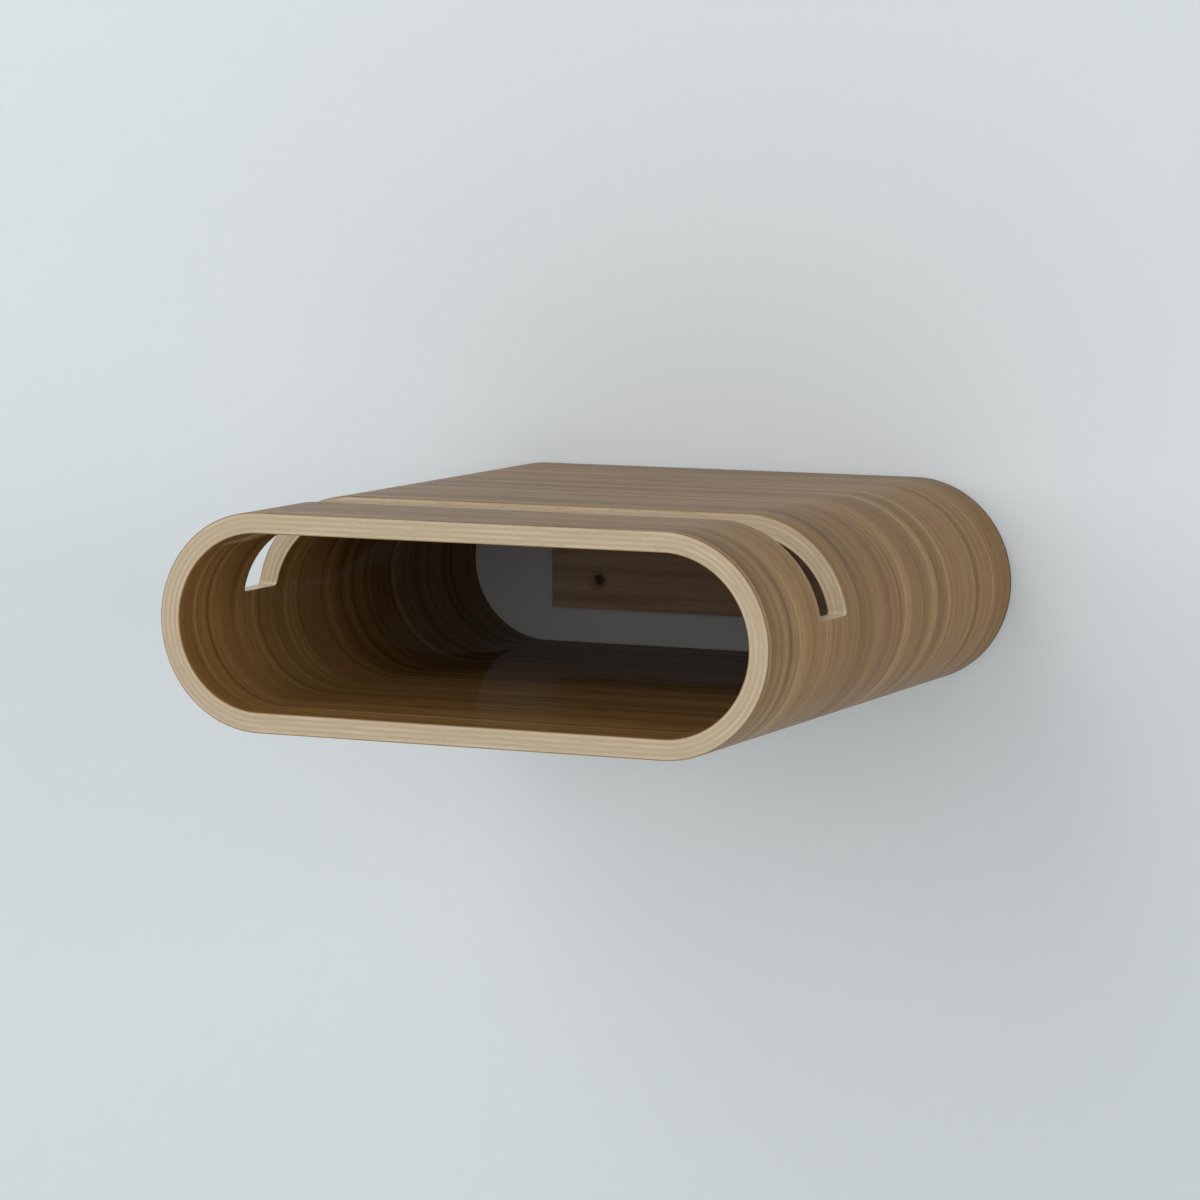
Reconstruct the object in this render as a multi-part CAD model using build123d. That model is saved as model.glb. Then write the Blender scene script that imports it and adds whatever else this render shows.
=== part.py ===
"""Bicycle wall rack: a bent, laminated plywood tube that stands out from a wall.

The tube has a racetrack section and is open at both ends. A slot across its top takes the top tube
of a bicycle. Inside, at the back, a rail with a bevelled lower edge is glued and screwed under the
top panel, and hooks over a second bevelled rail that is screwed to the wall.

Millimetres. +X runs along the wall, +Y into the wall, +Z up. The origin is on the wall's surface,
midway between the two wall screws. The model is drawn about the tube's mid-height, and each piece is
moved to that origin as it is written.
"""
import os
from build123d import *

# ---- Shell: the laminated tube ------------------------------------------------------------------
SHELL_WIDTH = 300.0          # along the wall
SHELL_HEIGHT = 100.0         # the ends are half rounds of this diameter
SHELL_DEPTH = 300.0          # out from the wall
FACE_VENEER = 0.55           # walnut veneer, outside and inside
CORE_PLY = 1.2               # one birch ply
CORE_PLY_COUNT = 7
EDGE_ROUNDING = 0.3          # sanded edge of the face veneers

# ---- Slot for the bicycle's top tube ------------------------------------------------------------
TOP_TUBE_DIAMETER = 28.6
TOP_TUBE_CLEARANCE = 1.2     # on each side of the tube
SLOT_CENTRE = 225.0          # from the wall
SLOT_FLOOR = 6.5             # above mid-height
SLOT_CORNER_RADIUS = 2.0

# ---- Bevelled rails -----------------------------------------------------------------------------
HOOK_THICKNESS = 15.0        # of the wall rail, and of the hook that drops in behind it
HOOK_TIP_FLAT = 2.0          # blunted width of each bevel's tip
RAIL_END_GAP = 10.0          # from a rail's end to where the shell starts to curve
HANGING_RAIL_HEIGHT = 18.0   # of its screwed part, under the top panel
HANGING_RAIL_LEDGE = 17.0    # of its screwed part, in front of the wall rail
LIFT_CLEARANCE = 4.0         # left under the wall rail as the shell lifts over it
RAIL_EDGE_CHAMFER = 0.5
WALL_SCREW_END_INSET = 25.0  # from a rail's end to the nearer wall screw
WALL_SCREW_HOLE_RADIUS = 2.6
WALL_SCREW_HEAD_RADIUS = 5.2

# ---- Countersunk wood screws through the hanging rail ---------------------------------------------
RAIL_SCREW_COUNT = 4
RAIL_SCREW_END_INSET = 15.0  # from a rail's end to the nearest of them
SCREW_RADIUS = 1.75
SCREW_ROOT_RADIUS = 1.2
SCREW_HEAD_RADIUS = 3.5
SCREW_HEAD_RIM = 0.3
SCREW_PITCH = 1.6
SCREW_POINT = 3.0
SCREW_BITE = 7.0             # into the top panel
SCREW_PLAIN_SHANK = 8.0
SCREW_CLEARANCE = 0.1
RECESS_LENGTH = 3.6
RECESS_WIDTH = 0.9
RECESS_DEPTH = 1.4

# ---- Places that follow from the sizes, about the tube's mid-height ---------------------------------
WALL_THICKNESS = 2 * FACE_VENEER + CORE_PLY_COUNT * CORE_PLY
CAVITY_TOP = SHELL_HEIGHT / 2 - WALL_THICKNESS
CAVITY_BOTTOM = -CAVITY_TOP
FLAT_WIDTH = SHELL_WIDTH - SHELL_HEIGHT
RAIL_LENGTH = FLAT_WIDTH - 2 * RAIL_END_GAP
SLOT_WIDTH = TOP_TUBE_DIAMETER + 2 * TOP_TUBE_CLEARANCE
LEDGE_BOTTOM = CAVITY_TOP - HANGING_RAIL_HEIGHT
BEVEL_DROP = HOOK_THICKNESS - HOOK_TIP_FLAT
WALL_RAIL_TOP = LEDGE_BOTTOM - HOOK_TIP_FLAT
WALL_RAIL_BACK_TOP = WALL_RAIL_TOP - BEVEL_DROP
WALL_RAIL_BOTTOM = CAVITY_BOTTOM + HOOK_THICKNESS + LIFT_CLEARANCE
WALL_SCREW_LINE = (WALL_RAIL_BOTTOM + WALL_RAIL_BACK_TOP) / 2
WALL_SCREW_X = RAIL_LENGTH / 2 - WALL_SCREW_END_INSET
RAIL_SCREW_X = RAIL_LENGTH / 2 - RAIL_SCREW_END_INSET
RAIL_SCREW_LINE = HOOK_THICKNESS + HANGING_RAIL_LEDGE / 2
SCREW_LENGTH = HANGING_RAIL_HEIGHT + SCREW_BITE
OVERCUT = 10.0               # how far a cutting block runs past what it cuts


def racetrack(inset):
    """The shell's outline, drawn on the wall's plane, inset from the outside face."""
    return Plane.XZ * SlotOverall(SHELL_WIDTH - 2 * inset, SHELL_HEIGHT - 2 * inset)


def slot_block():
    """The block of space that the slot takes, with its lower corners rounded."""
    height = SHELL_HEIGHT / 2 + OVERCUT - SLOT_FLOOR
    block = Box(SHELL_WIDTH + 2 * OVERCUT, SLOT_WIDTH, height)
    lower_corners = block.edges().filter_by(Axis.X).group_by(Axis.Z)[0]
    block = fillet(lower_corners, SLOT_CORNER_RADIUS)
    return Pos(0, -SLOT_CENTRE, SLOT_FLOOR + height / 2) * block


def rail_screw_positions():
    """Where the hanging rail's screws stand along X, evenly spaced."""
    step = 2 * RAIL_SCREW_X / (RAIL_SCREW_COUNT - 1)
    return [-RAIL_SCREW_X + index * step for index in range(RAIL_SCREW_COUNT)]


def pilot_holes():
    """The holes that the hanging rail's screws make in the top panel."""
    depth = SCREW_BITE + SCREW_CLEARANCE
    hole = Cylinder(SCREW_RADIUS + SCREW_CLEARANCE, depth)
    places = [Pos(x, -RAIL_SCREW_LINE, CAVITY_TOP + depth / 2) for x in rail_screw_positions()]
    return [place * hole for place in places]


def shell_layer(inset, thickness):
    """One bent layer of the shell, cut by the slot and the pilot holes."""
    layer = extrude(racetrack(inset) - racetrack(inset + thickness), SHELL_DEPTH)
    return layer - slot_block() - pilot_holes()


def distance_from_spine(point):
    """How far a point is from the flat line that joins the centres of the shell's two round ends."""
    past_the_flat = max(abs(point.X) - FLAT_WIDTH / 2, 0)
    return (past_the_flat ** 2 + point.Z ** 2) ** 0.5


def cut_edges(layer, radius):
    """The edges that a saw or cutter left in one curved face of a layer, at the given radius."""
    chosen = []
    for edge in layer.edges():
        middle = edge.position_at(0.5)
        on_face = abs(distance_from_spine(middle) - radius) < 0.01
        bend_line = abs(middle.X) < FLAT_WIDTH / 2 + 0.01 and edge.tangent_at(0.5).Y ** 2 > 0.99
        around_a_pilot_hole = edge.geom_type == GeomType.CIRCLE and edge.radius < SCREW_HEAD_RADIUS
        if on_face and not bend_line and not around_a_pilot_hole:
            chosen.append(edge)
    return chosen


def outer_veneer():
    """Walnut veneer round the outside, its cut edges sanded round."""
    layer = shell_layer(0, FACE_VENEER)
    return fillet(cut_edges(layer, SHELL_HEIGHT / 2), EDGE_ROUNDING)


def core_ply(number):
    """Birch ply, counted from 1 at the outside."""
    return shell_layer(FACE_VENEER + (number - 1) * CORE_PLY, CORE_PLY)


def inner_veneer():
    """Walnut veneer that lines the inside, its cut edges sanded round."""
    layer = shell_layer(WALL_THICKNESS - FACE_VENEER, FACE_VENEER)
    return fillet(cut_edges(layer, CAVITY_TOP), EDGE_ROUNDING)


def rail(outline):
    """A rail as long as the flat of the shell allows, from its outline seen along the wall."""
    section = make_face(Polyline(*outline, close=True))
    bar = extrude(Plane.YZ * section, RAIL_LENGTH / 2, both=True)
    end_faces = bar.faces().sort_by(Axis.X)
    return chamfer(end_faces[0].edges() + end_faces[-1].edges(), RAIL_EDGE_CHAMFER)


def hanging_rail():
    """The shell's own rail: a ledge that takes the screws, and a hook with a bevel to the front."""
    front = -HOOK_THICKNESS - HANGING_RAIL_LEDGE
    outline = [
        (front, CAVITY_TOP),
        (front, LEDGE_BOTTOM),
        (-HOOK_THICKNESS, LEDGE_BOTTOM),
        (-HOOK_TIP_FLAT, LEDGE_BOTTOM - BEVEL_DROP),
        (0, LEDGE_BOTTOM - BEVEL_DROP),
        (0, CAVITY_TOP),
    ]
    bar = rail(outline)
    hole_radius = SCREW_RADIUS + SCREW_CLEARANCE
    mouth_radius = SCREW_HEAD_RADIUS + SCREW_CLEARANCE
    hole = Cylinder(hole_radius, 2 * HANGING_RAIL_HEIGHT)
    sink_depth = SCREW_HEAD_RIM + mouth_radius - hole_radius
    sink = Pos(0, 0, SCREW_HEAD_RIM / 2) * Cylinder(mouth_radius, SCREW_HEAD_RIM)
    cone_depth = sink_depth - SCREW_HEAD_RIM
    cone = Pos(0, 0, SCREW_HEAD_RIM + cone_depth / 2) * Cone(mouth_radius, hole_radius, cone_depth)
    for x in rail_screw_positions():
        bar -= Pos(x, -RAIL_SCREW_LINE, LEDGE_BOTTOM) * (hole + sink + cone)
    return bar


def wall_rail():
    """The rail on the wall: its bevelled top faces the wall, and holds the hook against it."""
    outline = [
        (-HOOK_THICKNESS, WALL_RAIL_BOTTOM),
        (-HOOK_THICKNESS, WALL_RAIL_TOP),
        (-HOOK_THICKNESS + HOOK_TIP_FLAT, WALL_RAIL_TOP),
        (0, WALL_RAIL_BACK_TOP),
        (0, WALL_RAIL_BOTTOM),
    ]
    bar = rail(outline)
    hole = Rot(90, 0, 0) * Cylinder(WALL_SCREW_HOLE_RADIUS, 4 * HOOK_THICKNESS)
    sink_depth = WALL_SCREW_HEAD_RADIUS - WALL_SCREW_HOLE_RADIUS
    sink = Rot(-90, 0, 0) * Cone(WALL_SCREW_HEAD_RADIUS, WALL_SCREW_HOLE_RADIUS, sink_depth)
    sink = Pos(0, -HOOK_THICKNESS + sink_depth / 2, 0) * sink
    for x in (-WALL_SCREW_X, WALL_SCREW_X):
        bar -= Pos(x, 0, WALL_SCREW_LINE) * (hole + sink)
    return bar


def wood_screw():
    """A countersunk wood screw, point up, with the flat of its head at z = 0."""
    thread_end = SCREW_LENGTH - SCREW_POINT
    cone_top = SCREW_HEAD_RIM + SCREW_HEAD_RADIUS - SCREW_RADIUS
    outline = [
        (0, 0),
        (SCREW_HEAD_RADIUS, 0),
        (SCREW_HEAD_RADIUS, SCREW_HEAD_RIM),
        (SCREW_RADIUS, cone_top),
        (SCREW_RADIUS, SCREW_PLAIN_SHANK),
    ]
    ridge_count = int((thread_end - SCREW_PLAIN_SHANK) / SCREW_PITCH)
    for ridge in range(ridge_count):
        root = SCREW_PLAIN_SHANK + (ridge + 0.25) * SCREW_PITCH
        outline.append((SCREW_ROOT_RADIUS, root))
        outline.append((SCREW_RADIUS, root + SCREW_PITCH / 2))
    outline.append((SCREW_ROOT_RADIUS, thread_end))
    outline.append((0, SCREW_LENGTH))
    section = make_face(Polyline(*outline, close=True))
    screw = revolve(Plane.XZ * section, Axis.Z)
    for turn in (0, 90):
        screw -= Rot(0, 0, turn) * Box(RECESS_LENGTH, RECESS_WIDTH, 2 * RECESS_DEPTH)
    return screw


def hanging_rail_screws():
    """The screws that hold the hanging rail up against the top panel."""
    places = [Pos(x, -RAIL_SCREW_LINE, LEDGE_BOTTOM) for x in rail_screw_positions()]
    return Compound([place * wood_screw() for place in places])


def write(name, shape):
    """Writes one piece, moved so that the line of the wall screws is at z = 0."""
    export_step(Pos(0, 0, -WALL_SCREW_LINE) * shape, "parts/" + name + ".step")


os.makedirs("parts", exist_ok=True)
write("outer_veneer", outer_veneer())
for ply_number in range(1, CORE_PLY_COUNT + 1):
    write("core_ply_" + str(ply_number), core_ply(ply_number))
write("inner_veneer", inner_veneer())
write("hanging_rail", hanging_rail())
write("hanging_rail_screws", hanging_rail_screws())
write("wall_rail", wall_rail())
print("shell wall", WALL_THICKNESS, "slot width", SLOT_WIDTH, "rail length", RAIL_LENGTH)
print("wall screws below mid-height", -WALL_SCREW_LINE, "rail screw length", SCREW_LENGTH)
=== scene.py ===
# %% [markdown]
# # A bent plywood bicycle rack
# The real object is a tube of laminated plywood, faced with walnut veneer, that stands out from a
# wall. A slot across its top holds a bicycle's top tube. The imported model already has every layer
# at its true size, so this notebook keeps those shapes and makes the finishes: lacquered walnut
# whose grain runs round the tube, the pale edges of the plies, bare beech rails, and zinc-plated
# screws. Only the screws get a new shape, because they gain a real thread.

# %% Load the frame
import math

import bpy
from mathutils import Matrix, Vector


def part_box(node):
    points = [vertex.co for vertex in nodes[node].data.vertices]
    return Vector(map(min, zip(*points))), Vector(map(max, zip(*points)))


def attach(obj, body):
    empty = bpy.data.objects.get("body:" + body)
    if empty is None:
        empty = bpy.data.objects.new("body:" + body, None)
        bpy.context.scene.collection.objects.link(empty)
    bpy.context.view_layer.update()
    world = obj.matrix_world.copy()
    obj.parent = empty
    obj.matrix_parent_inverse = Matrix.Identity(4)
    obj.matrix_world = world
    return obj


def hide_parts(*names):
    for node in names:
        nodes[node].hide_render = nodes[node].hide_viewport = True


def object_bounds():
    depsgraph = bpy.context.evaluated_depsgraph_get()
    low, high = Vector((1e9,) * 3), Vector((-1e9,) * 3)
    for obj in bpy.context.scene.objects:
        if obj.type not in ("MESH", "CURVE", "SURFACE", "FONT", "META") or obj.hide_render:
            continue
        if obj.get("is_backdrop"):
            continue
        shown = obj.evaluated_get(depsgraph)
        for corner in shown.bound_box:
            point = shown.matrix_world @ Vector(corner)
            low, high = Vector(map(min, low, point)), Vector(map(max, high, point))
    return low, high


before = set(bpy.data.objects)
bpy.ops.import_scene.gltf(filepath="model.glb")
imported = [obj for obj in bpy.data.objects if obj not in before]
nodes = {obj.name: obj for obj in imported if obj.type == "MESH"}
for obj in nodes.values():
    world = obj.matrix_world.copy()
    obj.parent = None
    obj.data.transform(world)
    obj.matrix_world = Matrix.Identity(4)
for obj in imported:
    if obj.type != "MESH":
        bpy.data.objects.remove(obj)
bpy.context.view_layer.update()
print("nodes:", ", ".join(sorted(nodes)))

# %% [markdown]
# ## Sizes, read from the frame
# The finishes need to know where the tube bends, because the grain follows the bend. The outer
# veneer's box gives the tube's width, height and depth. The ends are half rounds, so their radius
# is half the height, and they start that far in from each side. The cavity is smaller than the
# inner veneer's box by that veneer's own thickness, which is the outer veneer's too.

# %% Measure the tube
MM = 0.001
outer_low, outer_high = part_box("outer_veneer")
first_ply_low, first_ply_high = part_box("core_ply_1")
inner_low, inner_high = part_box("inner_veneer")
VENEER = outer_high.z - first_ply_high.z
TUBE_DEPTH = outer_high.y - outer_low.y
OUTER_RADIUS = (outer_high.z - outer_low.z) / 2
CAVITY_RADIUS = (inner_high.z - inner_low.z) / 2 - VENEER
MID_HEIGHT = (outer_high.z + outer_low.z) / 2
HALF_FLAT = (outer_high.x - outer_low.x) / 2 - OUTER_RADIUS
print(f"end radius {OUTER_RADIUS / MM:.2f} mm outside and {CAVITY_RADIUS / MM:.2f} mm inside")
print(f"flats {2 * HALF_FLAT / MM:.1f} mm wide, tube {TUBE_DEPTH / MM:.1f} mm deep")

# %% [markdown]
# ## Node graphs as Python
# A shader is a graph of nodes, and so is a Geometry Nodes tree, but their maths reads better as an
# expression. `Wire` wraps one output socket and overloads the arithmetic operators, so `1 - a * 2`
# adds the Math nodes for it. `Graph` holds the tree: its `add` method makes any node from its type,
# its settings and its sockets' values. `Shader` is a graph with the few recipes that the finishes
# share.

# %% The wire class
class Wire:
    """One output socket of a node graph, with arithmetic."""

    def __init__(self, graph, socket):
        self.graph = graph
        self.socket = socket

    def __add__(self, other):
        return self.graph.maths("ADD", self, other)

    def __sub__(self, other):
        return self.graph.maths("SUBTRACT", self, other)

    def __rsub__(self, other):
        return self.graph.maths("SUBTRACT", other, self)

    def __mul__(self, other):
        return self.graph.maths("MULTIPLY", self, other)

    def __truediv__(self, other):
        return self.graph.maths("DIVIDE", self, other)

    __radd__ = __add__
    __rmul__ = __mul__

    def abs(self):
        return self.graph.maths("ABSOLUTE", self)

    def sign(self):
        return self.graph.maths("SIGN", self)

    def root(self):
        return self.graph.maths("SQRT", self)

    def least(self, other):
        return self.graph.maths("MINIMUM", self, other)

    def most(self, other):
        return self.graph.maths("MAXIMUM", self, other)

    def below(self, limit):
        """1 below the limit and 0 above it."""
        return self.graph.maths("LESS_THAN", self, limit)

    def between(self, low, high, out_low=0.0, out_high=1.0):
        """A smooth step: out_low up to low, out_high from high."""
        settings = {"interpolation_type": "SMOOTHSTEP"}
        values = {"Value": self, "From Min": low, "From Max": high, "To Min": out_low, "To Max": out_high}
        return self.graph.add("ShaderNodeMapRange", settings, values)


# %% The graph class
class Graph:
    """A node tree, written one node at a time."""

    def __init__(self, tree):
        self.tree = tree

    def add(self, kind, settings=None, values=None, output=0):
        """Adds a node, sets it up, and returns one of its outputs."""
        node = self.tree.nodes.new(kind)
        for key, value in (settings or {}).items():
            setattr(node, key, value)
        for key, value in (values or {}).items():
            if isinstance(value, Wire):
                self.tree.links.new(value.socket, node.inputs[key])
            else:
                node.inputs[key].default_value = value
        return Wire(self, node.outputs[output])

    def maths(self, operation, *values):
        return self.add("ShaderNodeMath", {"operation": operation}, dict(enumerate(values)))

    def vector(self, x, y, z):
        return self.add("ShaderNodeCombineXYZ", values={0: x, 1: y, 2: z})

    def parts(self, vector):
        """The X, Y and Z of a vector."""
        x = self.add("ShaderNodeSeparateXYZ", values={0: vector})
        return x, Wire(self, x.socket.node.outputs[1]), Wire(self, x.socket.node.outputs[2])


# %% The shader class
class Shader(Graph):
    """One material's graph."""

    def __init__(self, name):
        self.material = bpy.data.materials.new(name)
        self.material.use_nodes = True
        super().__init__(self.material.node_tree)
        self.tree.nodes.clear()
        self.surface = self.tree.nodes.new("ShaderNodeOutputMaterial").inputs["Surface"]

    def place(self):
        """X, Y and Z on the object, in metres."""
        return self.parts(self.add("ShaderNodeTexCoord", output="Object"))

    def noise(self, vector, detail=2.0, roughness=0.5):
        """Soft noise from 0 to 1, one lump to each unit of the vector."""
        values = {"Vector": vector, "Scale": 1.0, "Detail": detail, "Roughness": roughness}
        return self.add("ShaderNodeTexNoise", values=values, output="Fac")

    def mix(self, amount, first, second):
        """A colour between two colours."""
        return self.add("ShaderNodeMix", {"data_type": "RGBA"}, {0: amount, 6: first, 7: second}, output=2)

    def bump(self, height, distance):
        return self.add("ShaderNodeBump", values={"Height": height, "Distance": distance})

    def principled(self, **values):
        """The surface. An underscore in a name stands for a space."""
        named = {key.replace("_", " "): value for key, value in values.items()}
        self.finish(self.add("ShaderNodeBsdfPrincipled", values=named))

    def finish(self, wire):
        self.tree.links.new(wire.socket, self.surface)


def colour(red, green, blue):
    """A linear colour with full alpha."""
    return (red, green, blue, 1.0)


print("graph helpers ready")

# %% [markdown]
# ## Following the bend
# The veneer was flat when it was sliced, with its grain along one straight direction, and was then
# wrapped round the tube. A pattern on plain X, Y, Z would cut through the bend. So each wooden
# finish is drawn on the unrolled sheet instead: `along` is the distance round the tube from the
# middle of the top, and `depth` is the distance in from the wall. Both are worked out from the
# object's coordinates, so nothing has to be unwrapped. The ends of the outer sheet meet under the
# tube and those of the inner one under the top panel, where nobody looks, as a maker would do it.

# %% Unroll the tube
def unrolled(shader, radius, start=1):
    """(distance round the tube, depth, height above its middle) of a point, in metres.

    The distance starts at the middle of the top, or of the bottom where start is -1.
    """
    x, y, z = shader.place()
    side = x.abs()
    flat = side.least(HALF_FLAT)
    height = (z - MID_HEIGHT) * start
    angle = shader.maths("ARCTAN2", side - flat, height)
    under = height.below(0.0) * (2 * HALF_FLAT - 2 * flat)
    return x.sign() * (flat + angle * radius + under), y, height


def from_spine(shader, height):
    """Distance from the flat line, or its end, that the tube's section is drawn round."""
    x, _, _ = shader.place()
    side = x.abs()
    beyond = side - side.least(HALF_FLAT)
    return (beyond * beyond + height * height).root()


# %% [markdown]
# ## Lacquered walnut
# The face veneer is straight-grained walnut under a clear lacquer. Its pattern has four scales:
# broad bands from the log's colour, growth lines a few millimetres apart, fine streaks, and pores
# like short dark dashes. All are long along the grain and narrow across it, and a slow wander keeps
# the lines from being ruler straight. The wood itself is golden brown. The lacquer is a coat over
# it, which mirrors the pale room and so lays a cool sheen on the colour. A thin rubbed lacquer
# mirrors less at a low angle than plain glass does, so the coat fades there. At a cut edge the
# veneer is sanded through to a paler line.
# The last millimetre or so of the veneer by the wall is darkened brown as a painted contact shadow.

# %% Walnut colours and scales
WALNUT_DARK = colour(0.098, 0.049, 0.012)
WALNUT_MID = colour(0.228, 0.122, 0.036)
WALNUT_LIGHT = colour(0.370, 0.232, 0.096)
WALNUT_PINK = colour(0.245, 0.118, 0.050)
# This brown colours the pores and veins, and also the painted contact shadow by the wall.
PORE_AND_SHADOW_BROWN = colour(0.050, 0.025, 0.008)
SANDED_EDGE = colour(0.430, 0.290, 0.160)
# Each scale is in lumps to the metre, along the grain and then across it.
WANDER = (5, 14)
BANDS = (1.5, 45)
GROWTH_LINES = (3, 230)
STREAKS = (14, 1100)
PINK_ZONES = (2, 75)
VEINS = (1.2, 70)
PORES = (150, 2600)
CLOUDS = (30, 30)
WANDER_REACH = 16 * MM
# How much each scale has in the tone. Together they make 1.
BAND_SHARE = 0.48
LINE_SHARE = 0.40
STREAK_SHARE = 0.12
# How far each darker or pinker layer covers the ones under it, where it is at its strongest.
PINK_COVER = 0.55
VEIN_COVER = 0.55
DARK_LINE_COVER = 0.6
PORE_COVER = 0.62
SANDED_COVER = 0.85
# The next cover is how dark the painted contact shadow by the wall gets.
WALL_SHADOW_COVER = 0.75
# From no effect to the full effect of a layer: values of its noise, or distances.
DARK_TO_MID = (0.34, 0.52)
MID_TO_LIGHT = (0.50, 0.66)
PINK_STEP = (0.45, 0.70)
PORE_STEP = (0.60, 0.70)
VEIN_HALF_WIDTH = 0.016
DARK_LINE_STEP = (0.3 * MM, 1.3 * MM)
SANDED_STEP = (0.12 * MM, 0.30 * MM)
# The painted contact shadow by the wall fades in over these depths, with a slight wander.
WALL_SHADOW_STEP = (-1.6 * MM, -0.6 * MM)
WALL_SHADOW_WANDER = 0.8 * MM
GLOSS_FACING = 0.52
GLOSS_EDGE_ON = 0.34
print("walnut from", WALNUT_DARK[:3], "to", WALNUT_LIGHT[:3])


# %% Walnut
def walnut(name, radius, inward, shift, dark_lines):
    """Walnut veneer on a tube of this radius.

    inward is 1 where the veneer's body lies inside the radius and -1 where it lies outside it.
    shift moves the pattern to another part of the sheet. dark_lines are distances behind the open
    front at which a dark growth line runs round.
    """
    shader = Shader(name)
    along, depth, height = unrolled(shader, radius, inward)

    def grain(sideways, scale, layer, detail, roughness=0.5):
        """Noise drawn out along the grain. Each layer is cut from its own part of the noise."""
        place = shader.vector(along * scale[0], sideways * scale[1], shift + layer)
        return shader.noise(place, detail, roughness)

    wander = grain(depth, WANDER, 0, 2.0)
    across = depth + (wander - 0.5) * WANDER_REACH
    bands = grain(across, BANDS, 1, 3.0, 0.6)
    lines = grain(across, GROWTH_LINES, 2, 3.0, 0.62)
    streaks = grain(across, STREAKS, 3, 2.0)
    tone = bands * BAND_SHARE + lines * LINE_SHARE + streaks * STREAK_SHARE
    base = shader.mix(tone.between(*DARK_TO_MID), WALNUT_DARK, WALNUT_MID)
    base = shader.mix(tone.between(*MID_TO_LIGHT), base, WALNUT_LIGHT)
    hue = grain(across, PINK_ZONES, 4, 1.0)
    base = shader.mix(hue.between(*PINK_STEP) * PINK_COVER, base, WALNUT_PINK)
    vein = 1 - (grain(across, VEINS, 5, 1.0) - 0.5).abs().between(0.0, VEIN_HALF_WIDTH)
    base = shader.mix(vein * VEIN_COVER, base, PORE_AND_SHADOW_BROWN)
    for distance in dark_lines:
        off = (across + (TUBE_DEPTH - distance)).abs()
        base = shader.mix(off.between(*DARK_LINE_STEP, DARK_LINE_COVER, 0.0), base, PORE_AND_SHADOW_BROWN)
    pore = grain(across, PORES, 6, 1.0).between(*PORE_STEP)
    base = shader.mix(pore * PORE_COVER, base, PORE_AND_SHADOW_BROWN)
    sunk = (radius - from_spine(shader, height)) * inward
    base = shader.mix(sunk.between(*SANDED_STEP) * SANDED_COVER, base, SANDED_EDGE)
    # Painted contact shadow: the veneer is darkened brown in its last millimetre by the wall.
    painted_wall_shadow = (depth + wander * WALL_SHADOW_WANDER).between(*WALL_SHADOW_STEP)
    base = shader.mix(painted_wall_shadow * WALL_SHADOW_COVER, base, PORE_AND_SHADOW_BROWN)
    cloud = grain(depth, CLOUDS, 7, 2.0)
    facing = shader.add("ShaderNodeLayerWeight", values={"Blend": 0.5}, output="Facing")
    gloss = facing.between(0.5, 1.0, GLOSS_FACING, GLOSS_EDGE_ON) * cloud.between(0.2, 0.8, 0.9, 1.0)
    relief = shader.bump(streaks * 0.5 + (1 - pore) * 0.5, distance=0.02 * MM)
    shader.principled(
        Base_Color=base, Roughness=0.45 + lines * 0.12, Normal=relief, Specular_IOR_Level=0.0,
        Coat_Weight=gloss, Coat_Roughness=0.06, Coat_IOR=1.5,
    )
    return shader.material


walnut_outside = walnut("walnut_outside", OUTER_RADIUS, 1, 0.0, ())
walnut_inside = walnut("walnut_inside", CAVITY_RADIUS, -1, 20.0, (25 * MM, 75 * MM))
print("made", walnut_outside.name, "and", walnut_inside.name)

# %% [markdown]
# ## The edges of the plies
# The core is birch plies glued with their grain in turn along and across. On a sawn and sanded edge
# the plies that run along show fine long flecks, and the plies that run across show their end
# grain, which is a shade darker and speckled. The difference is slight, so from a step away the
# rim reads as one pale band. Only the edges show, in planes square to the depth or at the slot's
# floor, so the flecks are drawn round the tube and through the thickness.

# %% Ply edges
BIRCH_LIGHT = colour(0.640, 0.505, 0.345)
BIRCH_WARM = colour(0.560, 0.425, 0.270)
BIRCH_FLECK = colour(0.360, 0.255, 0.145)
END_GRAIN = colour(0.470, 0.350, 0.215)
END_GRAIN_COVER = 0.55
FLECK_COVER = 0.5
# Flecks to the metre: round the tube where they are end grain or long grain, then inwards from
# the front, then through the thickness.
ROUND_END_GRAIN = 500
ROUND_LONG_GRAIN = 110
INWARDS = 900
THROUGH = 1500
PATTERN_STEP = 3.0


def ply_edge(name, radius, shift, end_grain):
    """The edge of one ply at this radius. end_grain says that its grain runs in from the wall."""
    shader = Shader(name)
    along, depth, height = unrolled(shader, radius)
    through = from_spine(shader, height)
    round_tube = along * (ROUND_END_GRAIN if end_grain else ROUND_LONG_GRAIN)
    fleck = shader.noise(shader.vector(round_tube, depth * INWARDS, through * THROUGH + shift), detail=2.0)
    tint = shader.noise(shader.vector(along * 22, depth * 60, shift + 1), detail=2.0)
    pale = shader.mix(tint.between(0.3, 0.7), BIRCH_WARM, BIRCH_LIGHT)
    if end_grain:
        pale = shader.mix(END_GRAIN_COVER, pale, END_GRAIN)
    base = shader.mix(fleck.between(0.52, 0.72) * FLECK_COVER, pale, BIRCH_FLECK)
    relief = shader.bump(fleck, distance=0.02 * MM)
    shader.principled(
        Base_Color=base, Roughness=0.46 + fleck * 0.2, Normal=relief,
        Coat_Weight=0.35, Coat_Roughness=0.3,
    )
    return shader.material


ply_names = sorted(name for name in nodes if name.startswith("core_ply"))
ply_materials = {}
for index, ply_name in enumerate(ply_names):
    ply_low, ply_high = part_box(ply_name)
    ply_radius = (ply_high.z - ply_low.z) / 2
    end_grain = index % 2 == 1
    ply_materials[ply_name] = ply_edge(ply_name + "_edge", ply_radius, PATTERN_STEP * index, end_grain)
print("made", len(ply_materials), "ply edges")

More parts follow.
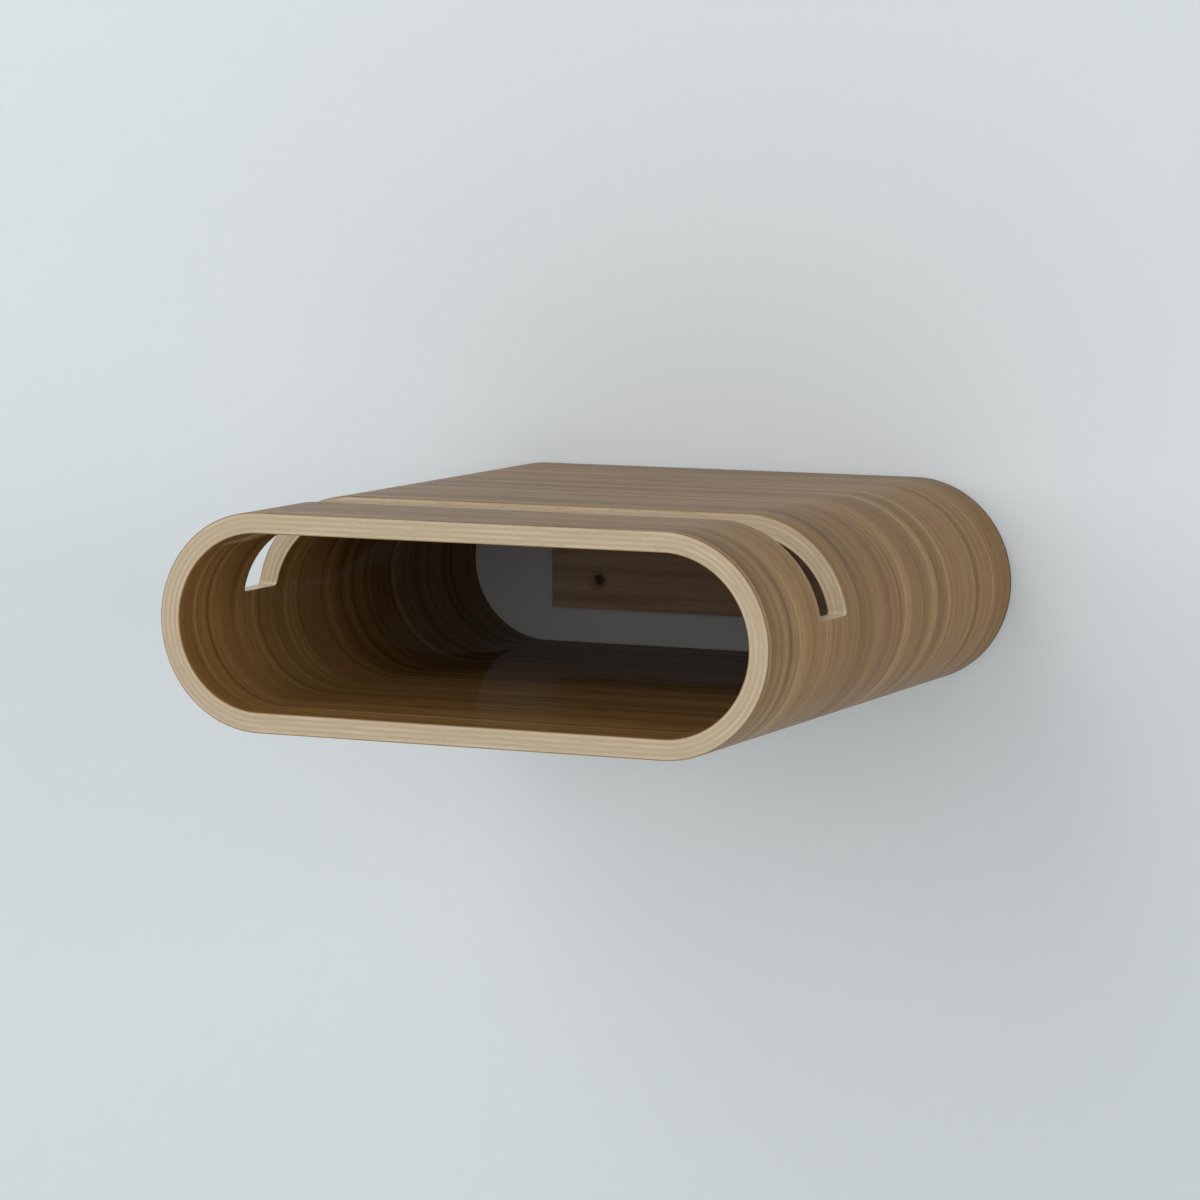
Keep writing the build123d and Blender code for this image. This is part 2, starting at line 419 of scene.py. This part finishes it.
# %% [markdown]
# ## Beech rails
# The two bevelled rails are planed beech, left bare because nobody sees them. Beech is pinkish tan
# with straight, faint lines along the bar and the short dark flecks of its rays.

# %% Beech
BEECH_LIGHT = colour(0.560, 0.385, 0.245)
BEECH_DARK = colour(0.430, 0.270, 0.155)
RAY_BROWN = colour(0.260, 0.140, 0.070)
RAY_COVER = 0.7
LINE_WAVER = 3


def beech(name, shift):
    """Bare beech with its grain along X. shift takes it from another part of the plank."""
    shader = Shader(name)
    x, y, z = shader.place()
    wander = shader.noise(shader.vector(x * 6, y * 25, z * 25 + shift), detail=1.0)
    lines = shader.noise(shader.vector(x * 4, y * 300 + wander * LINE_WAVER, z * 300 + shift), detail=3.0)
    base = shader.mix(lines.between(0.35, 0.65), BEECH_LIGHT, BEECH_DARK)
    rays = shader.noise(shader.vector(x * 380, y * 1800, z * 1800 + shift), detail=1.0)
    ray = rays.between(0.68, 0.74)
    base = shader.mix(ray * RAY_COVER, base, RAY_BROWN)
    relief = shader.bump(lines * 0.6 + (1 - ray) * 0.4, distance=0.05 * MM)
    shader.principled(Base_Color=base, Roughness=0.52 + lines * 0.15, Normal=relief)
    return shader.material


hanging_rail_beech = beech("hanging_rail_beech", 0.0)
wall_rail_beech = beech("wall_rail_beech", 7.0)
print("made", hanging_rail_beech.name, "and", wall_rail_beech.name)

# %% [markdown]
# ## Zinc-plated screws
# Plating leaves steel pale and slightly yellow, with fine turning marks. Its roughness changes in
# small patches where it was handled.

# %% Zinc
ZINC_PALE = colour(0.620, 0.600, 0.540)
ZINC_DULL = colour(0.430, 0.420, 0.390)
PATCHES = 400
TURNING_ROUND = 300
TURNING_ALONG = 9000


def zinc(name):
    """Zinc plate on a screw that stands along Z."""
    shader = Shader(name)
    x, y, z = shader.place()
    patches = shader.noise(shader.vector(x * PATCHES, y * PATCHES, z * PATCHES), detail=3.0)
    turned = shader.vector(x * TURNING_ROUND, y * TURNING_ROUND, z * TURNING_ALONG)
    turning = shader.noise(turned, detail=1.0)
    base = shader.mix(patches.between(0.35, 0.65), ZINC_PALE, ZINC_DULL)
    relief = shader.bump(turning, distance=0.01 * MM)
    shader.principled(Base_Color=base, Metallic=1.0, Roughness=0.28 + patches * 0.22, Normal=relief)
    return shader.material


screw_zinc = zinc("screw_zinc")
print("made", screw_zinc.name)

# %% [markdown]
# ## Wood screws
# Four countersunk screws hold the hanging rail up against the top panel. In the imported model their
# threads are plain rings, so here each is cut as a real helix. A Geometry Nodes tree suits it: the
# thread follows a rule, and the four are alike. The tree takes a round bar of unit radius and gives
# each of its points a new radius for its height and its angle: the countersunk head, the plain
# shank, a ridge that climbs one pitch to each turn, and the point. Two bars are cut away for the
# cross recess, the screw is copied along the rail, and every size is a named input.

# %% Screw sizes
SCREW_COUNT = 4
screw_low, screw_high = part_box("hanging_rail_screws")
SCREW_SIZES = {
    "Length": screw_high.z - screw_low.z,
    "Head Radius": 3.5 * MM,
    "Head Rim": 0.3 * MM,
    "Shank Radius": 1.75 * MM,
    "Root Radius": 1.2 * MM,
    "Plain Shank": 8 * MM,
    "Pitch": 1.6 * MM,
    "Point": 3 * MM,
    "Recess Length": 3.6 * MM,
    "Recess Width": 0.9 * MM,
    "Recess Depth": 1.4 * MM,
    "Spacing": 50 * MM,
}
screw_length, screw_spacing = SCREW_SIZES["Length"] / MM, SCREW_SIZES["Spacing"] / MM
print(f"{SCREW_COUNT} screws, {screw_length:.1f} mm long, {screw_spacing:.1f} mm apart")

# %% [markdown]
# The radius is the whole of the screw's shape. The head narrows by one millimetre to each
# millimetre of height until it meets the shank. Lower down the thread, `turns` counts pitches up
# the screw less the part of a turn round it, so its fraction is the same all along the helix, and
# the ridge is a triangle on that fraction. Past the shank's end everything narrows to the point.

# %% The radius rule
RIDGE_STEEPNESS = 3.5


def screw_radius(graph, size, height, angle):
    """How far out the screw's surface is at this height and angle."""
    narrowing = (height - size["Head Rim"]).most(0.0)
    head = (size["Head Radius"] - narrowing).most(size["Shank Radius"])
    turns = height / size["Pitch"] - angle * (1 / math.tau)
    ridge = (1 - (graph.maths("FRACT", turns) - 0.5).abs() * RIDGE_STEEPNESS).most(0.0)
    threaded = height.between(size["Plain Shank"], size["Plain Shank"] + size["Pitch"])
    cut = threaded * (1 - ridge) * (size["Shank Radius"] - size["Root Radius"])
    taper = ((size["Length"] - height) / size["Point"]).least(1.0)
    return (head - cut) * taper


# %% The screw tree
BAR_SIDES = 32
BAR_STEPS = 220
SMOOTH_ANGLE = math.radians(32)
WELD = 0.002 * MM
# One arm is a hair shallower, because a cut in the plane of another cut's floor leaves holes.
RECESS_ARMS = (("Recess Length", "Recess Width", 1.0), ("Recess Width", "Recess Length", 0.95))


def screw_tree(material):
    """The Geometry Nodes tree that makes the row of screws."""
    tree = bpy.data.node_groups.new("wood_screws", "GeometryNodeTree")
    tree.interface.new_socket("Screws", in_out="OUTPUT", socket_type="NodeSocketGeometry")
    for name in SCREW_SIZES:
        tree.interface.new_socket(name, in_out="INPUT", socket_type="NodeSocketFloat")
    graph = Graph(tree)
    inputs = tree.nodes.new("NodeGroupInput")
    size = {name: Wire(graph, inputs.outputs[name]) for name in SCREW_SIZES}
    bar_values = {"Vertices": BAR_SIDES, "Side Segments": BAR_STEPS, "Radius": 1.0, "Depth": size["Length"]}
    bar = graph.add("GeometryNodeMeshCylinder", {"fill_type": "TRIANGLE_FAN"}, bar_values)
    x, y, z = graph.parts(graph.add("GeometryNodeInputPosition"))
    height = z + size["Length"] * 0.5
    radius = screw_radius(graph, size, height, graph.maths("ARCTAN2", y, x))
    place = graph.vector(x * radius, y * radius, height)
    screw = graph.add("GeometryNodeSetPosition", values={"Geometry": bar, "Position": place})
    screw = graph.add("GeometryNodeMergeByDistance", values={"Geometry": screw, "Distance": WELD})
    for across, along, depth_share in RECESS_ARMS:
        block_size = graph.vector(size[across], size[along], size["Recess Depth"] * 2 * depth_share)
        block = graph.add("GeometryNodeMeshCube", values={"Size": block_size})
        meshes = {"Mesh 1": screw, "Mesh 2": block}
        screw = graph.add("GeometryNodeMeshBoolean", {"operation": "DIFFERENCE"}, meshes)
    step = graph.vector(size["Spacing"], 0.0, 0.0)
    row = graph.add("GeometryNodeMeshLine", values={"Count": SCREW_COUNT, "Offset": step})
    screws = graph.add("GeometryNodeInstanceOnPoints", values={"Points": row, "Instance": screw})
    screws = graph.add("GeometryNodeRealizeInstances", values={"Geometry": screws})
    rounded = graph.add("GeometryNodeInputMeshEdgeAngle").below(SMOOTH_ANGLE)
    edges = {"Geometry": screws, "Selection": 1 - rounded, "Shade Smooth": False}
    screws = graph.add("GeometryNodeSetShadeSmooth", {"domain": "EDGE"}, edges)
    screws = graph.add("GeometryNodeSetMaterial", values={"Geometry": screws, "Material": material})
    outputs = tree.nodes.new("NodeGroupOutput")
    tree.links.new(screws.socket, outputs.inputs["Screws"])
    return tree


# %% [markdown]
# A modifier's inputs are keyed by each socket's identifier, so they are looked up from the tree.
# The evaluated result becomes a plain mesh, moved in the mesh itself so that the object stays at
# the origin like every other piece. The seed that carried the modifier is thrown away, and so is
# the empty material slot that its own mesh brought along.

# %% Grow the screws
def grow(name, tree, sizes, offset):
    """A plain object made by a Geometry Nodes tree, with its mesh moved by offset."""
    seed = bpy.data.objects.new(name + "_seed", bpy.data.meshes.new(name + "_seed"))
    bpy.context.scene.collection.objects.link(seed)
    modifier = seed.modifiers.new("grow", "NODES")
    modifier.node_group = tree
    for item in tree.interface.items_tree:
        if item.in_out == "INPUT":
            modifier[item.identifier] = float(sizes[item.name])
    shown = seed.evaluated_get(bpy.context.evaluated_depsgraph_get())
    mesh = bpy.data.meshes.new_from_object(shown)
    mesh.transform(Matrix.Translation(offset))
    while None in mesh.materials[:]:
        mesh.materials.pop(index=mesh.materials[:].index(None))
    bpy.data.objects.remove(seed)
    grown = bpy.data.objects.new(name, mesh)
    bpy.context.scene.collection.objects.link(grown)
    return grown


row_middle = (screw_low + screw_high) / 2
first_screw_x = row_middle.x - SCREW_SIZES["Spacing"] * (SCREW_COUNT - 1) / 2
first_screw = Vector((first_screw_x, row_middle.y, screw_low.z))
threaded_screws = grow("threaded_screws", screw_tree(screw_zinc), SCREW_SIZES, first_screw)
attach(threaded_screws, "shell")
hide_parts("hanging_rail_screws")
print("screws have", len(threaded_screws.data.polygons), "faces")

# %% [markdown]
# ## Put the finishes on
# Every piece keeps the mesh that it came with. Only the material in its slot changes.

# %% Assign
def give(node, material):
    """Puts one material on a node of the frame."""
    for slot in nodes[node].material_slots:
        slot.material = material


give("outer_veneer", walnut_outside)
give("inner_veneer", walnut_inside)
for ply_name, ply_material in ply_materials.items():
    give(ply_name, ply_material)
give("hanging_rail", hanging_rail_beech)
give("wall_rail", wall_rail_beech)
give("hanging_rail_screws", screw_zinc)
print("finished", len(nodes), "nodes")

# %% [markdown]
# ## The room
# The rack hangs on a pale wall above a pale floor. Both are only a stage. The paint is a soft,
# cool white with the faint stipple of a roller. To look at the rack from behind or from below, a
# stage sheet lets the eye through from its back, and it lets through the light that starts a
# hair's breadth away, so the parts that touch the wall are not left black.

# %% Wall and floor
WALL_GAP = 0.2 * MM
WALL_HALF_WIDTH = 3.0
FLOOR_DROP = 0.765
ROOM_HEIGHT = 2.6
CONTACT = 0.45 * MM
AFTER_FIRST_BOUNCE = 1.5
STIPPLE = 700
WALL_WHITE = colour(0.780, 0.808, 0.818)
FLOOR_WHITE = colour(0.740, 0.760, 0.770)


def stage_paint(name, tint):
    """Roller-painted wall or floor that is clear from behind and where an object touches it."""
    shader = Shader(name)
    x, y, z = shader.place()
    stipple = shader.noise(shader.vector(x * STIPPLE, y * STIPPLE, z * STIPPLE), detail=2.0)
    relief = shader.bump(stipple, distance=0.05 * MM)
    paint = shader.add("ShaderNodeBsdfDiffuse", values={"Color": tint, "Normal": relief})
    seen_from_behind = shader.add("ShaderNodeNewGeometry", output="Backfacing")
    near_start = shader.add("ShaderNodeLightPath", output="Ray Length").below(CONTACT)
    first_bounce = shader.add("ShaderNodeLightPath", output="Ray Depth").below(AFTER_FIRST_BOUNCE)
    clear = shader.add("ShaderNodeBsdfTransparent")
    open_share = seen_from_behind.most(near_start * first_bounce)
    shader.finish(shader.add("ShaderNodeMixShader", values={0: open_share, 1: paint, 2: clear}))
    return shader.material


def stage_sheet(name, corners, material):
    """A flat sheet that is not part of the object. Its corners run anticlockwise as seen."""
    mesh = bpy.data.meshes.new(name)
    mesh.from_pydata(corners, [], [tuple(range(len(corners)))])
    mesh.materials.append(material)
    sheet = bpy.data.objects.new(name, mesh)
    bpy.context.scene.collection.objects.link(sheet)
    sheet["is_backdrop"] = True


floor_z = MID_HEIGHT - FLOOR_DROP
top = floor_z + ROOM_HEIGHT
left, right = -WALL_HALF_WIDTH, WALL_HALF_WIDTH
wall_y = outer_high.y + WALL_GAP
front = wall_y - 2 * WALL_HALF_WIDTH
skirting = [(left, wall_y, floor_z), (right, wall_y, floor_z)]
wall_corners = skirting + [(right, wall_y, top), (left, wall_y, top)]
floor_corners = [(left, front, floor_z), (right, front, floor_z)] + skirting[::-1]
stage_sheet("wall", wall_corners, stage_paint("wall_paint", WALL_WHITE))
stage_sheet("floor", floor_corners, stage_paint("floor_paint", FLOOR_WHITE))
print(f"floor {floor_z:.3f} m, wall {wall_y:.4f} m")

# %% [markdown]
# ## Light
# A bright, even studio. Two wide soft panels stand well out to the sides, low enough to reach into
# the open front, and weaker ones in front and up on the left fill in. The world gives the rest, and
# is what the lacquer mirrors where no panel or wall is.

# %% World and lights
PANEL_TINT = (0.97, 0.99, 1.00)
WORLD_TINT = colour(0.93, 0.97, 1.00)
WORLD_STRENGTH = 0.35
# Each panel's name, place, aim and size in metres, and power in watts.
PANELS = (
    ("right_panel", (2.8, -1.3, 0.4), (0, -0.1, 0), (1.4, 1.4), 31),
    ("left_panel", (-2.4, -1.8, 0.8), (0, -0.1, 0), (1.6, 1.6), 21),
    ("front_panel", (0.4, -3.0, 0.6), (0, -0.1, 0), (2.0, 1.6), 8),
    ("upper_panel", (-0.9, -1.1, 1.6), (0, -0.1, 0.2), (1.8, 1.2), 13),
)


def soft_panel(name, place, aim, size, power):
    """A soft rectangle of light at a place, turned towards its aim."""
    light = bpy.data.lights.new(name, "AREA")
    light.shape = "RECTANGLE"
    light.size, light.size_y = size
    light.energy = power
    light.color = PANEL_TINT
    panel = bpy.data.objects.new(name, light)
    panel.location = place
    panel.rotation_euler = (Vector(aim) - Vector(place)).to_track_quat("-Z", "Y").to_euler()
    bpy.context.scene.collection.objects.link(panel)


world = bpy.data.worlds.new("room_light")
world.use_nodes = True
background = world.node_tree.nodes["Background"].inputs
background["Color"].default_value = WORLD_TINT
background["Strength"].default_value = WORLD_STRENGTH
bpy.context.scene.world = world
for panel_settings in PANELS:
    soft_panel(*panel_settings)
bpy.context.scene.view_settings.view_transform = "Standard"
print("made", len(PANELS), "soft panels")

# %% [markdown]
# ## Camera
# The camera stands to the right of the rack and a little above it, and looks down at it through a
# long lens from about two metres, so the tube's sides barely converge.

# %% Camera
CAMERA_OFFSET = Vector((0.924, -2.122, 0.246))
LENS = 140.0
SENSOR = 36.0
camera_data = bpy.data.cameras.new("camera")
camera_data.lens = LENS
camera_data.sensor_width = SENSOR
camera_data.dof.use_dof = False
camera = bpy.data.objects.new("camera", camera_data)
back_centre = Vector((0, outer_high.y, MID_HEIGHT))
camera.location = back_centre + CAMERA_OFFSET
target = (outer_low + outer_high) / 2
camera.rotation_euler = (target - camera.location).to_track_quat("-Z", "Y").to_euler()
bpy.context.scene.collection.objects.link(camera)
bpy.context.scene.camera = camera
print("camera", [round(value, 3) for value in camera.location])

# %% [markdown]
# The finishes change no shape, and the new screws fill the same space as the old, so the object's
# box is the same before and after. Its size is printed.

# %% Print the size
visual_low, visual_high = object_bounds()
visual_size = [round((high - low) / MM, 2) for low, high in zip(visual_low, visual_high)]
print("size", visual_size, "mm")
